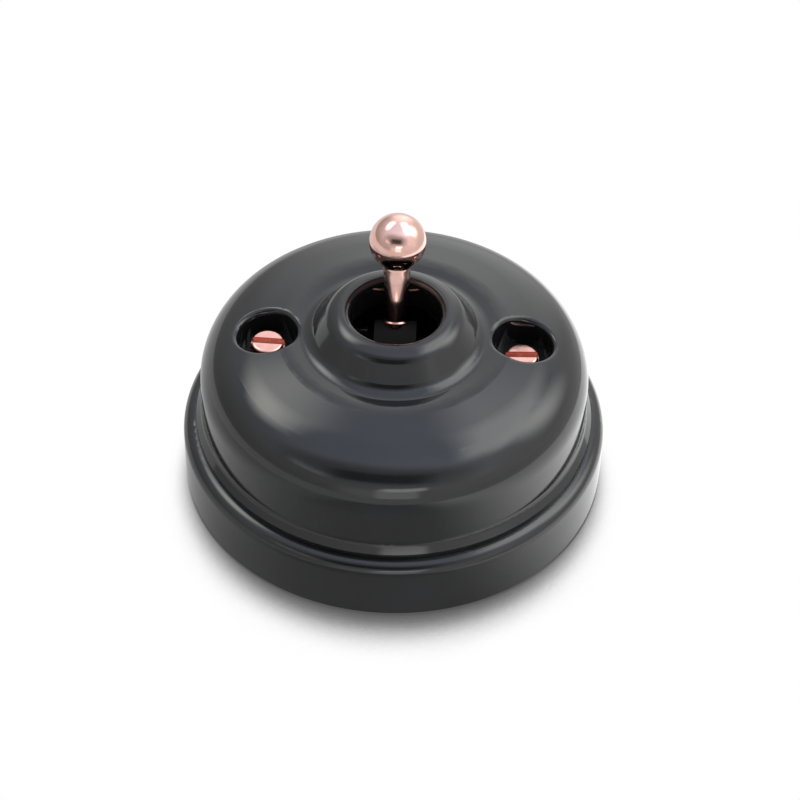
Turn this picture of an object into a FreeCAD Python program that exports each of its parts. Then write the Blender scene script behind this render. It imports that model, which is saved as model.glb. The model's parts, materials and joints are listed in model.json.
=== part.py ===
import FreeCAD, Part
import Sketcher
import math
import os

# Surface-mounted toggle switch in glazed porcelain.
# Millimetres and degrees. The origin is the middle of the flat back of the base.
# +Z points out of the wall, the two cover screws lie on the X axis and the lever swings
# in the YZ plane.

os.makedirs("parts", exist_ok=True)
doc = FreeCAD.newDocument("porcelain_toggle_switch")
Vector = FreeCAD.Vector


# Driving dimensions

DIMENSIONS = [
    # porcelain base
    ("base_r", 35.0, "outer radius of the base"),
    ("base_foot_bevel", 0.6, "bevel of the lower edge"),
    ("ledge_z", 11.1, "ledge that carries the cover"),
    ("ledge_round", 2.1, "rounded shoulder outside the ledge"),
    ("spigot_r", 27.9, "ring that centres the cover"),
    ("spigot_z", 14.0, "top of that ring"),
    ("spigot_bevel", 0.5, "bevel of its top edges"),
    ("recess_r", 25.2, "radius of the recess for the mechanism"),
    ("floor_z", 4.5, "floor of the recess"),
    ("boss_r", 4.6, "radius of the bosses for the inserts"),
    ("boss_z", 13.0, "top of the bosses"),
    ("wall_hole_y", 20.5, "wall screws from the centre"),
    ("wall_hole_r", 2.3, "wall screw hole"),
    ("wall_sink_r", 4.3, "recess for the wall screw head"),
    ("wall_sink_deep", 1.6, "depth of that recess"),
    ("cable_x", 14.5, "cable entries from the centre, along X"),
    ("cable_y", 13.5, "cable entries from the centre, along Y"),
    ("cable_r", 4.25, "radius of a cable entry"),
    # porcelain cover
    ("cover_foot_r", 32.8, "outer radius of the cover's foot"),
    ("cover_foot_high", 0.9, "height of the foot"),
    ("cover_flare_high", 2.3, "height at which the flare meets the wall"),
    ("cover_flare_round", 1.4, "hollow of the flare"),
    ("cover_wall_r", 31.8, "outer radius of the wall"),
    ("shoulder_z", 20.0, "upper end of the straight wall"),
    ("shoulder_round", 8.1, "radius of the rounded shoulder"),
    ("crown_join", 20.0, "angle from upright at which shoulder and crown meet"),
    ("crown_round", 17.0, "radius of the crown's outer curve"),
    ("crown_slope", 9.0, "slope of the crown, rising inwards"),
    ("crown_top_r", 18.0, "radius of the crown's highest ring"),
    ("crown_top_round", 8.0, "rounding of that ring"),
    ("cover_bore_r", 28.4, "inner radius of the wall"),
    ("cover_ceiling_z", 23.6, "underside of the dome"),
    ("cover_inner_bevel", 4.0, "bevel under the shoulder"),
    ("valley_r", 14.0, "radius of the valley round the collar"),
    ("valley_slope", 5.5, "slope of the crown, falling to the valley"),
    ("valley_round", 2.6, "hollow of the valley"),
    ("collar_r", 10.3, "outer radius of the collar's rim"),
    ("collar_round", 3.2, "outer rounding of the rim"),
    ("lip_z", 34.2, "top of the collar"),
    ("lip_round", 1.2, "rounded lip of the well"),
    ("well_r", 7.3, "radius of the lever well"),
    ("collar_bore_r", 9.2, "hollow under the collar"),
    ("collar_bore_z", 29.0, "top of that hollow"),
    # cover screws and their seats
    ("screw_x", 20.7, "cover screws from the centre"),
    ("screw_well_r", 4.8, "radius of a screw well"),
    ("screw_well_lip", 0.8, "rounded lip of a screw well"),
    ("seat_z", 23.4, "seat of the screw heads"),
    ("left_screw_lift", 1.2, "left screw head above its seat"),
    ("pillar_r", 6.6, "column under a screw well"),
    ("pillar_z", 17.5, "lower end of the column"),
    ("cover_hole_r", 1.8, "clearance hole for a cover screw"),
    ("thread_r", 1.45, "shank of every M3 screw"),
    ("m3_head_r", 2.75, "head of a cover screw"),
    ("m3_head_high", 1.9, "height of that head"),
    ("m3_head_bevel", 0.5, "bevel of the head's top edge"),
    ("slot_wide", 1.2, "driver slot of a cover screw"),
    ("inner_slot_wide", 0.8, "driver slot of the M3 screws inside"),
    ("slot_deep", 0.9, "depth of the slot"),
    ("cover_screw_end_z", 7.0, "lower end of the cover screws"),
    ("insert_r", 2.6, "outer radius of a brass insert"),
    ("insert_bore_r", 1.5, "threaded bore of an insert"),
    ("insert_long", 7.5, "length of an insert"),
    ("seat_gap", 0.05, "gap round a seated round piece"),
    # lever and rocker, measured from the pivot axis
    ("pivot_z", 24.0, "pivot axis above the back"),
    ("rest_tilt", 22.0, "tilt of the lever at rest"),
    ("ball_r", 4.6, "radius of the lever's ball"),
    ("ball_from_pivot", 19.7, "ball centre from the pivot"),
    ("neck_r", 2.33, "stem radius at the ball"),
    ("neck_from_pivot", 15.5, "upper end of the stem's cone"),
    ("root_r", 1.75, "stem radius at the root"),
    ("root_flange_r", 2.0, "flange at the stem's root"),
    ("root_flange_top", 6.4, "upper face of the flange"),
    ("root_flange_low", 5.2, "lower face of the flange"),
    ("shank_r", 1.5, "shank held in the rocker"),
    ("shank_low", 2.4, "lower end of the shank"),
    ("drum_r", 5.8, "radius of the rocker's drum"),
    ("drum_half", 3.4, "half width of the rocker"),
    ("drum_spread", 75.0, "half angle of the drum"),
    ("arm_r", 2.9, "radius of the hub and the lower arm"),
    ("arm_low", 9.5, "lower end of the arm"),
    ("pocket_r", 1.75, "bore for plunger and spring"),
    ("pocket_top", 2.6, "closed end of that bore"),
    ("pin_r", 1.25, "radius of the pivot pin"),
    ("pin_half", 5.6, "half length of the pivot pin"),
    ("pin_gap", 0.03, "running gap round the pin"),
    # plunger and spring, measured down the arm from the pivot axis
    ("guide_r", 1.67, "guide band of the plunger"),
    ("guide_top", 7.4, "upper face of the guide band"),
    ("guide_low", 10.2, "lower face of the guide band"),
    ("stem_r", 0.85, "stem of the plunger inside the spring"),
    ("stem_top", 3.6, "upper end of that stem"),
    ("nose_r", 1.2, "round nose of the plunger"),
    ("nose_centre", 12.2, "centre of the nose"),
    ("coil_r", 1.3, "mean radius of the spring"),
    ("wire_r", 0.2, "radius of the spring wire"),
    ("coil_low", 6.8, "lower end of the spring"),
    ("coil_top", 2.85, "upper end of the spring"),
    ("coil_pitch", 0.79, "pitch of the spring"),
    # lid of the housing
    ("house_x", 8.5, "half width of the housing"),
    ("lid_y", 10.2, "half length of the lid"),
    ("lid_z", 19.0, "underside of the lid"),
    ("lid_thick", 2.0, "thickness of the lid"),
    ("lid_slot_x", 3.6, "half width of the rocker slot"),
    ("lid_slot_y", 5.8, "half length of the rocker slot"),
    ("cheek_gap", 0.3, "side play of the rocker"),
    ("cheek_thick", 2.1, "thickness of a cheek"),
    ("cheek_half", 3.0, "half length of a cheek"),
    ("lid_screw_x", 6.55, "lid screws along X"),
    ("lid_screw_y", 7.9, "lid screws along Y"),
    ("lid_screw_r", 1.0, "shank of a lid screw"),
    ("lid_screw_long", 7.0, "length of a lid screw"),
    ("lid_head_r", 1.8, "head of a lid screw"),
    ("lid_head_high", 1.2, "height of that head"),
    ("lid_slot_wide", 0.6, "driver slot of a lid screw"),
    # housing
    ("house_y", 16.0, "half length of the housing"),
    ("chamber_x", 4.6, "half width of the contact chamber"),
    ("chamber_y", 9.3, "half length of the contact chamber"),
    ("chamber_z", 6.5, "floor of the chamber and the pockets"),
    ("terminal_x", 3.0, "half width of a terminal block"),
    ("terminal_long", 5.6, "length of a terminal block"),
    ("terminal_z", 15.5, "top of a terminal block"),
    ("terminal_gap", 0.15, "gap round a terminal block"),
    ("shelf_y", 4.0, "half length of the shelf for the common terminal"),
    ("common_x", 9.2, "inner face of the common terminal block"),
    ("shelf_over", 0.5, "shelf beyond the common terminal block"),
    ("lug_x", 11.7, "fixing lugs along X"),
    ("lug_y", 8.0, "fixing lugs along Y"),
    ("lug_r", 3.3, "radius of a fixing lug"),
    ("lug_thick", 3.0, "thickness of a fixing lug"),
    ("lug_hole_r", 1.7, "hole in lug and base"),
    ("nut_flats", 5.5, "across the flats of a nut"),
    ("nut_thick", 2.2, "thickness of a nut"),
    ("nut_play", 0.15, "play round a nut"),
    ("nut_z", 0.4, "lower face of a nut"),
    ("mech_screw_end_z", 0.5, "lower end of the mechanism screws"),
    # contacts
    ("strip_thick", 0.8, "thickness of the contact strips"),
    ("strip_x", 2.2, "half width of a contact strip"),
    ("strip_y", 5.6, "inner end of a fixed contact strip"),
    ("fulcrum_z", 9.2, "axis that the saddle rocks on"),
    ("fulcrum_r", 0.6, "rolled edge of the fulcrum"),
    ("fulcrum_web", 0.4, "half thickness of its web"),
    ("fulcrum_half", 2.4, "half width of the fulcrum"),
    ("fulcrum_gap", 0.06, "running gap round the rolled edge"),
    ("saddle_x", 3.0, "half width of the saddle"),
    ("saddle_tilt", 10.0, "tilt of the saddle at rest"),
    ("saddle_trough_r", 6.8, "radius of the trough"),
    ("saddle_trough_z", 1.28, "lowest point of the trough above the axis"),
    ("saddle_thick", 0.9, "thickness of the saddle"),
    ("saddle_rim_z", 3.4, "rim of the trough above the axis"),
    ("saddle_rim_y", 5.0, "inner face of the saddle's web"),
    ("saddle_arm_z", 0.9, "underside of the saddle's arms"),
    ("saddle_arm_y", 8.6, "end of the saddle's arms"),
    ("saddle_hub_y", 1.3, "half length of the saddle's hub"),
    ("saddle_hub_low", 0.3, "hub below the axis"),
    ("tip_y", 7.3, "contact tips from the axis"),
    ("tip_r", 1.1, "radius of a moving tip"),
    ("tip_high", 0.7, "height of a moving tip"),
    ("tip_dome_r", 3.0, "dome of a moving tip"),
    ("fixed_tip_r", 1.5, "radius of a fixed tip"),
    ("fixed_tip_z", 8.0, "face of a fixed tip"),
    # terminals
    ("wire_hole_r", 1.4, "wire hole of a terminal block"),
    ("wire_hole_z", 9.9, "axis of the wire hole"),
    ("clamp_head_r", 2.3, "head of a terminal screw"),
    ("clamp_head_high", 1.7, "height of that head"),
    ("clamp_head_lift", 0.8, "head above the block"),
    ("clamp_end_z", 10.6, "lower end of a terminal screw"),
]

sheet = doc.addObject("Spreadsheet::Sheet", "dims")
for row, (alias, number, note) in enumerate(DIMENSIONS, start=1):
    sheet.set("A%d" % row, note)
    sheet.set("B%d" % row, str(number))
    sheet.setAlias("B%d" % row, alias)
doc.recompute()


# Sizes that keep both their number and the sheet expression that gives it

class Size:
    def __init__(self, number, text):
        self.number = float(number)
        self.text = text

    def __add__(self, other):
        other = as_size(other)
        return Size(self.number + other.number, "(%s + %s)" % (self.text, other.text))

    def __sub__(self, other):
        other = as_size(other)
        return Size(self.number - other.number, "(%s - %s)" % (self.text, other.text))

    def __mul__(self, other):
        other = as_size(other)
        return Size(self.number * other.number, "(%s * %s)" % (self.text, other.text))

    def __neg__(self):
        return Size(-self.number, "(0 - %s)" % self.text)


def as_size(value):
    return value if isinstance(value, Size) else Size(value, str(value))


def sine(angle):
    return Size(math.sin(math.radians(angle.number)), "sin(%s * 1 deg)" % angle.text)


def cosine(angle):
    return Size(math.cos(math.radians(angle.number)), "cos(%s * 1 deg)" % angle.text)


def tangent(angle):
    return Size(math.tan(math.radians(angle.number)), "tan(%s * 1 deg)" % angle.text)


class Dims:
    pass


D = Dims()
for alias, number, note in DIMENSIONS:
    setattr(D, alias, Size(number, "dims.%s" % alias))

ZERO = as_size(0)
SIDES = (-1, 1)
FULL_TURN = 360.0
QUARTER_TURN = 90.0
FULL_TURN_RAD = 2 * math.pi
HEX_SIDES = 6
FLATS_TO_CORNERS = 1.0 / math.sqrt(3.0)
OVERLAP = 1.0          # how far a cutting tool stands out of what it cuts


# Objects whose sizes are bound to the sheet

def bind(thing, prop, size):
    size = as_size(size)
    thing.setExpression(prop, size.text)


def place(thing, x=ZERO, y=ZERO, z=ZERO):
    bind(thing, "Placement.Base.x", x)
    bind(thing, "Placement.Base.y", y)
    bind(thing, "Placement.Base.z", z)
    return thing


def box(name, x0, x1, y0, y1, z0, z1):
    made = doc.addObject("Part::Box", name)
    x0, x1, y0, y1, z0, z1 = (as_size(edge) for edge in (x0, x1, y0, y1, z0, z1))
    bind(made, "Length", x1 - x0)
    bind(made, "Width", y1 - y0)
    bind(made, "Height", z1 - z0)
    return place(made, x0, y0, z0)


AXIS_TURN = {
    "x": FreeCAD.Rotation(Vector(0, 1, 0), QUARTER_TURN),
    "y": FreeCAD.Rotation(Vector(1, 0, 0), -QUARTER_TURN),
    "z": FreeCAD.Rotation(),
}


def rod(name, along, radius, low, high, x=ZERO, y=ZERO, z=ZERO):
    """Cylinder along one axis, from low to high on that axis."""
    low, high = as_size(low), as_size(high)
    start = {"x": as_size(x), "y": as_size(y), "z": as_size(z)}
    start[along] = start[along] + low
    made = doc.addObject("Part::Cylinder", name)
    made.Placement = FreeCAD.Placement(Vector(), AXIS_TURN[along])
    bind(made, "Radius", radius)
    bind(made, "Height", high - low)
    return place(made, start["x"], start["y"], start["z"])


def ball(name, radius, x=ZERO, y=ZERO, z=ZERO):
    made = doc.addObject("Part::Sphere", name)
    bind(made, "Radius", radius)
    return place(made, x, y, z)


def joined(name, shapes):
    made = doc.addObject("Part::MultiFuse", name)
    made.Shapes = shapes
    return made


def grouped(name, shapes):
    """Several separate solids in one object."""
    made = doc.addObject("Part::Compound", name)
    made.Links = shapes
    return made


def shared(name, shapes):
    made = doc.addObject("Part::MultiCommon", name)
    made.Shapes = shapes
    return made


def cut(name, base, tools):
    made = doc.addObject("Part::Cut", name)
    made.Base = base
    made.Tool = tools[0] if len(tools) == 1 else joined(name + "_tools", tools)
    return made


def swung(thing, height, angle, about):
    """Tilt a piece drawn round the origin and lift it to its pivot."""
    thing.Placement = FreeCAD.Placement(Vector(), FreeCAD.Rotation(about, angle.number))
    bind(thing, "Placement.Rotation.Angle", angle)
    return place(thing, z=height)


def origin_plane(body, role):
    return next(item for item in body.Origin.OriginFeatures if item.Role == role)


def new_sketch(body, name, role, height=None):
    sketch = body.newObject("Sketcher::SketchObject", name)
    sketch.AttachmentSupport = [(origin_plane(body, role), "")]
    sketch.MapMode = "FlatFace"
    if height is not None:
        bind(sketch, "AttachmentOffset.Base.z", height)
    return sketch


def pin_coordinate(sketch, kind, geo, point, size):
    """Hold one coordinate of a sketch point at a size from the sheet."""
    axis = -2 if kind == "DistanceX" else -1
    if size.number == 0:
        sketch.addConstraint(Sketcher.Constraint("PointOnObject", geo, point, axis))
        return
    ends = (-1, 1, geo, point) if size.number > 0 else (geo, point, -1, 1)
    rule = sketch.addConstraint(Sketcher.Constraint(kind, *ends, abs(size.number)))
    bind(sketch, "Constraints[%d]" % rule, size if size.number > 0 else -size)


def draw_outline(sketch, corners):
    """Closed outline through corners given as sizes.

    A third item (centre, radius) makes the edge that leaves a corner an arc, which runs
    the left way round its centre.
    """
    count = len(corners)
    points = [Vector(as_size(item[0]).number, as_size(item[1]).number, 0) for item in corners]
    for index, item in enumerate(corners):
        start, end = points[index], points[(index + 1) % count]
        if len(item) == 2:
            sketch.addGeometry(Part.LineSegment(start, end), False)
            continue
        (centre_u, centre_v), radius = item[2]
        centre = Vector(centre_u.number, centre_v.number, 0)
        outward = (start - centre) + (end - centre)
        middle = centre + outward.normalize() * radius.number
        sketch.addGeometry(Part.Arc(start, middle, end), False)
    for index in range(count):
        sketch.addConstraint(Sketcher.Constraint("Coincident", index, 2, (index + 1) % count, 1))
    for index, item in enumerate(corners):
        pin_coordinate(sketch, "DistanceX", index, 1, as_size(item[0]))
        pin_coordinate(sketch, "DistanceY", index, 1, as_size(item[1]))
        if len(item) == 3:
            radius = item[2][1]
            rule = sketch.addConstraint(Sketcher.Constraint("Radius", index, radius.number))
            bind(sketch, "Constraints[%d]" % rule, radius)


def draw_circles(sketch, circles):
    for index, (u, v, radius) in enumerate(circles):
        u, v = as_size(u), as_size(v)
        middle = Vector(u.number, v.number, 0)
        sketch.addGeometry(Part.Circle(middle, Vector(0, 0, 1), radius.number), False)
        rule = sketch.addConstraint(Sketcher.Constraint("Radius", index, radius.number))
        bind(sketch, "Constraints[%d]" % rule, radius)
        pin_coordinate(sketch, "DistanceX", index, 3, u)
        pin_coordinate(sketch, "DistanceY", index, 3, v)


def turned(name, corners):
    """Body turned round the Z axis from an outline of (radius, height) corners."""
    body = doc.addObject("PartDesign::Body", name)
    sketch = new_sketch(body, name + "_outline", "XZ_Plane")
    draw_outline(sketch, corners)
    turn = body.newObject("PartDesign::Revolution", name + "_turn")
    turn.Profile = sketch
    turn.ReferenceAxis = (sketch, ["V_Axis"])
    turn.Angle = FULL_TURN
    doc.recompute()
    return body


def pad(body, name, circles, low, high):
    sketch = new_sketch(body, name + "_outline", "XY_Plane", low)
    draw_circles(sketch, circles)
    made = body.newObject("PartDesign::Pad", name)
    made.Profile = sketch
    bind(made, "Length", high - low)
    doc.recompute()
    return made


def pocket(body, name, circles, low, high):
    """Round holes sunk from high down to low."""
    sketch = new_sketch(body, name + "_outline", "XY_Plane", high)
    draw_circles(sketch, circles)
    made = body.newObject("PartDesign::Pocket", name)
    made.Profile = sketch
    bind(made, "Length", high - low)
    doc.recompute()
    return made


NEAR = 0.02
MOUTH_SAMPLES = 8


def circle_edges(shape, radius, height):
    """Names of the circular edges of one radius at one height."""
    found = []
    for index, edge in enumerate(shape.Edges, start=1):
        curve = edge.Curve
        if not isinstance(curve, Part.Circle):
            continue
        if abs(curve.Radius - radius.number) < NEAR and abs(curve.Center.z - height.number) < NEAR:
            found.append("Edge%d" % index)
    return found


def dress(body, name, kind, prop, size, rings):
    """Fillet or chamfer on the circular edges given as (radius, height)."""
    before = body.Tip
    edges = []
    for ring_radius, ring_height in rings:
        edges += circle_edges(before.Shape, as_size(ring_radius), as_size(ring_height))
    made = body.newObject(kind, name)
    made.Base = (before, edges)
    bind(made, prop, size)
    doc.recompute()
    return made


def round_over(body, name, radius, rings):
    return dress(body, name, "PartDesign::Fillet", "Radius", radius, rings)


def bevel(body, name, size, rings):
    return dress(body, name, "PartDesign::Chamfer", "Size", size, rings)


def mouth_edges(shape, x, radius, above):
    """Names of the edges that run round a vertical hole at x, higher than a level."""
    found = []
    for index, edge in enumerate(shape.Edges, start=1):
        points = edge.discretize(MOUTH_SAMPLES)
        on_wall = all(abs(math.hypot(p.x - x, p.y) - radius.number) < NEAR for p in points)
        if on_wall and all(p.z > above.number for p in points):
            found.append("Edge%d" % index)
    return found


# Porcelain base: thick disc with a ledge, a centring ring and a recess for the mechanism

base = turned("porcelain_base", [
    (0, 0),
    (D.base_r, 0),
    (D.base_r, D.ledge_z),
    (D.spigot_r, D.ledge_z),
    (D.spigot_r, D.spigot_z),
    (D.recess_r, D.spigot_z),
    (D.recess_r, D.floor_z),
    (0, D.floor_z),
])
round_over(base, "base_shoulder", D.ledge_round, [(D.base_r, D.ledge_z)])
bevel(base, "base_foot", D.base_foot_bevel, [(D.base_r, 0)])
bevel(base, "base_ring_edges", D.spigot_bevel, [(D.spigot_r, D.spigot_z), (D.recess_r, D.spigot_z)])

screw_places = [(D.screw_x * side, ZERO) for side in SIDES]
wall_places = [(ZERO, D.wall_hole_y * side) for side in SIDES]
cable_places = [(D.cable_x * side, D.cable_y * -side) for side in SIDES]
lug_places = [(D.lug_x * side, D.lug_y * side) for side in SIDES]

pad(base, "base_bosses", [(x, y, D.boss_r) for x, y in screw_places], D.floor_z, D.boss_z)
insert_hole_r = D.insert_r + D.seat_gap
insert_low = D.boss_z - D.insert_long
pocket(base, "insert_holes", [(x, y, insert_hole_r) for x, y in screw_places], insert_low, D.boss_z)
pocket(base, "wall_holes", [(x, y, D.wall_hole_r) for x, y in wall_places], ZERO, D.floor_z)
wall_sink_z = D.floor_z - D.wall_sink_deep
pocket(base, "wall_sinks", [(x, y, D.wall_sink_r) for x, y in wall_places], wall_sink_z, D.floor_z)
pocket(base, "cable_entries", [(x, y, D.cable_r) for x, y in cable_places], ZERO, D.floor_z)
pocket(base, "lug_screw_holes", [(x, y, D.lug_hole_r) for x, y in lug_places], ZERO, D.floor_z)

nut_pocket_r = (D.nut_flats + D.nut_play * 2) * FLATS_TO_CORNERS
nut_top_z = D.nut_z + D.nut_thick


def hexagon(name, radius, low, high, x, y):
    made = doc.addObject("Part::Prism", name)
    made.Polygon = HEX_SIDES
    bind(made, "Circumradius", radius)
    bind(made, "Height", high - low)
    return place(made, x, y, low)


nut_pockets = [
    hexagon("nut_pocket_%d" % index, nut_pocket_r, ZERO - OVERLAP, nut_top_z, x, y)
    for index, (x, y) in enumerate(lug_places)
]
porcelain_base = cut("porcelain_base_done", base, nut_pockets)


# Porcelain cover: turned dome with collar and lever well, two screw wells on columns

shoulder_centre = (D.cover_wall_r - D.shoulder_round, D.shoulder_z)
join_sine, join_cosine = sine(D.crown_join), cosine(D.crown_join)
join = (shoulder_centre[0] + D.shoulder_round * join_sine,
        shoulder_centre[1] + D.shoulder_round * join_cosine)
crown_centre = (join[0] - D.crown_round * join_sine, join[1] - D.crown_round * join_cosine)
crown_edge = (crown_centre[0] + D.crown_round * sine(D.crown_slope),
              crown_centre[1] + D.crown_round * cosine(D.crown_slope))
crown_top = (D.crown_top_r, crown_edge[1] + (crown_edge[0] - D.crown_top_r) * tangent(D.crown_slope))
valley = (D.valley_r, crown_top[1] - (D.crown_top_r - D.valley_r) * tangent(D.valley_slope))

cover = turned("porcelain_cover", [
    (D.cover_bore_r, D.ledge_z),
    (D.cover_foot_r, D.ledge_z),
    (D.cover_foot_r, D.ledge_z + D.cover_foot_high),
    (D.cover_wall_r, D.ledge_z + D.cover_flare_high),
    (D.cover_wall_r, D.shoulder_z, (shoulder_centre, D.shoulder_round)),
    (join[0], join[1], (crown_centre, D.crown_round)),
    crown_edge,
    crown_top,
    valley,
    (D.collar_r, D.lip_z),
    (D.well_r, D.lip_z),
    (D.well_r, D.collar_bore_z),
    (D.collar_bore_r, D.collar_bore_z),
    (D.collar_bore_r, D.cover_ceiling_z),
    (D.cover_bore_r, D.cover_ceiling_z),
])
bevel(cover, "cover_under_shoulder", D.cover_inner_bevel, [(D.cover_bore_r, D.cover_ceiling_z)])
round_over(cover, "cover_flare", D.cover_flare_round, [(D.cover_wall_r, D.ledge_z + D.cover_flare_high)])
round_over(cover, "crown_ring", D.crown_top_round, [crown_top])
round_over(cover, "collar_valley", D.valley_round, [valley])
round_over(cover, "collar_rim", D.collar_round, [(D.collar_r, D.lip_z)])
round_over(cover, "well_lip", D.lip_round, [(D.well_r, D.lip_z)])
pad(cover, "screw_columns", [(x, y, D.pillar_r) for x, y in screw_places], D.pillar_z, D.cover_ceiling_z)
pocket(cover, "screw_wells", [(x, y, D.screw_well_r) for x, y in screw_places], D.seat_z, D.lip_z)
before_lips = cover.Tip
lips = []
for side in SIDES:
    lips += mouth_edges(before_lips.Shape, side * D.screw_x.number, D.screw_well_r, D.cover_ceiling_z)
screw_lips = cover.newObject("PartDesign::Fillet", "screw_well_lips")
screw_lips.Base = (before_lips, lips)
bind(screw_lips, "Radius", D.screw_well_lip)
doc.recompute()
pocket(cover, "screw_holes", [(x, y, D.cover_hole_r) for x, y in screw_places], D.pillar_z, D.seat_z)


# Slotted screws: head with a bevelled top edge, plain shank and driver slot

def slotted_screw(name, head_r, head_high, shank_r, seat, end, x, y, slot, bevel_high=None):
    straight = head_high if bevel_high is None else head_high - bevel_high
    blank = [rod(name + "_head", "z", head_r, seat, seat + straight, x, y)]
    if bevel_high is not None:
        edge = doc.addObject("Part::Cone", name + "_bevel")
        bind(edge, "Radius1", head_r)
        bind(edge, "Radius2", head_r - bevel_high)
        bind(edge, "Height", bevel_high)
        blank.append(place(edge, x, y, seat + straight))
    blank.append(rod(name + "_shank", "z", shank_r, end, seat, x, y))
    top_z = seat + head_high
    reach = head_r + OVERLAP
    groove = box(name + "_slot", x - reach, x + reach, y - slot * 0.5, y + slot * 0.5,
                 top_z - D.slot_deep, top_z + OVERLAP)
    return cut(name, joined(name + "_blank", blank), [groove])


# The left cover screw isn't driven home: its head stands above the seat, held by its thread

cover_screws = grouped("cover_screws", [
    slotted_screw("cover_screw_%d" % index, D.m3_head_r, D.m3_head_high, D.thread_r,
                  D.seat_z + lift, D.cover_screw_end_z + lift, x, y, D.slot_wide, D.m3_head_bevel)
    for index, (lift, (x, y)) in enumerate(zip((D.left_screw_lift, ZERO), screw_places))
])


def sleeve(name, outer_r, bore_r, low, high, x, y):
    body = rod(name + "_body", "z", outer_r, low, high, x, y)
    bore = rod(name + "_bore", "z", bore_r, low - OVERLAP, high + OVERLAP, x, y)
    return cut(name, body, [bore])


base_inserts = grouped("base_inserts", [
    sleeve("base_insert_%d" % index, D.insert_r, D.insert_bore_r, insert_low, D.boss_z, x, y)
    for index, (x, y) in enumerate(screw_places)
])


# Lever: ball, tapered stem, root flange and shank, drawn upright from the pivot axis

LEVER_AXIS = Vector(-1, 0, 0)

lever_ball = ball("lever_ball", D.ball_r, z=D.ball_from_pivot)
lever_stem = doc.addObject("Part::Cone", "lever_stem")
bind(lever_stem, "Radius1", D.root_r)
bind(lever_stem, "Radius2", D.neck_r)
bind(lever_stem, "Height", D.neck_from_pivot - D.root_flange_top)
place(lever_stem, z=D.root_flange_top)
lever_neck = rod("lever_neck", "z", D.neck_r, D.neck_from_pivot, D.ball_from_pivot)
lever_flange = rod("lever_flange", "z", D.root_flange_r, D.root_flange_low, D.root_flange_top)
lever_shank = rod("lever_shank", "z", D.shank_r, D.shank_low, D.root_flange_low)
lever = joined("lever", [lever_ball, lever_stem, lever_neck, lever_flange, lever_shank])
swung(lever, D.pivot_z, D.rest_tilt, LEVER_AXIS)


# Rocker: drum segment that closes the well, hub on the pin, lower arm with the spring bore

drum = doc.addObject("Part::Cylinder", "rocker_drum")
drum.Placement = FreeCAD.Placement(Vector(), FreeCAD.Rotation(
    Vector(0, math.cos(math.radians(QUARTER_TURN - D.drum_spread.number)),
           math.sin(math.radians(QUARTER_TURN - D.drum_spread.number))),
    Vector(0, 0, 1), Vector(1, 0, 0), "ZXY"))
bind(drum, "Radius", D.drum_r)
bind(drum, "Height", D.drum_half * 2)
bind(drum, "Angle", D.drum_spread * 2)
place(drum, x=-D.drum_half)
hub = rod("rocker_hub", "x", D.arm_r, -D.drum_half, D.drum_half)
arm = rod("rocker_arm", "z", D.arm_r, -D.arm_low, ZERO)
socket_low = D.shank_low - D.seat_gap
lever_rocker = cut("lever_rocker", joined("rocker_blank", [drum, hub, arm]), [
    rod("rocker_pin_bore", "x", D.pin_r + D.pin_gap, -D.drum_half - OVERLAP, D.drum_half + OVERLAP),
    rod("rocker_spring_bore", "z", D.pocket_r, -D.arm_low - OVERLAP, -D.pocket_top),
    rod("rocker_socket", "z", D.shank_r + D.seat_gap, socket_low, D.drum_r + OVERLAP),
    rod("rocker_flange_seat", "z", D.root_flange_r + D.seat_gap, D.root_flange_low, D.drum_r + OVERLAP),
])
swung(lever_rocker, D.pivot_z, D.rest_tilt, LEVER_AXIS)

pivot_pin = rod("pivot_pin", "x", D.pin_r, -D.pin_half, D.pin_half, z=D.pivot_z)


# Plunger and its spring in the rocker's lower arm

plunger = joined("plunger", [
    rod("plunger_stem", "z", D.stem_r, -D.guide_top, -D.stem_top),
    rod("plunger_guide", "z", D.guide_r, -D.guide_low, -D.guide_top),
    rod("plunger_shaft", "z", D.nose_r, -D.nose_centre, -D.guide_low),
    ball("plunger_nose", D.nose_r, z=-D.nose_centre),
])
swung(plunger, D.pivot_z, D.rest_tilt, LEVER_AXIS)

# The spring's round wire is drawn six-sided

spring = doc.addObject("PartDesign::Body", "toggle_spring")
spring_sketch = new_sketch(spring, "spring_wire", "XZ_Plane")
draw_outline(spring_sketch, [
    (D.coil_r + D.wire_r * math.cos(step * FULL_TURN_RAD / HEX_SIDES),
     D.wire_r * math.sin(step * FULL_TURN_RAD / HEX_SIDES))
    for step in range(HEX_SIDES)
])
coil = spring.newObject("PartDesign::AdditiveHelix", "spring_coil")
coil.Profile = spring_sketch
coil.ReferenceAxis = (spring_sketch, ["V_Axis"])
coil.Mode = 0
bind(coil, "Pitch", D.coil_pitch)
bind(coil, "Height", D.coil_low - D.coil_top - D.wire_r * 2)
doc.recompute()
spring_base = FreeCAD.Placement(Vector(0, 0, D.wire_r.number - D.coil_low.number), FreeCAD.Rotation())
lever_pose = FreeCAD.Placement(Vector(0, 0, D.pivot_z.number),
                               FreeCAD.Rotation(LEVER_AXIS, D.rest_tilt.number))
spring.Placement = lever_pose.multiply(spring_base)


# Lid of the housing, with the two cheeks that carry the pivot pin

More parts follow.
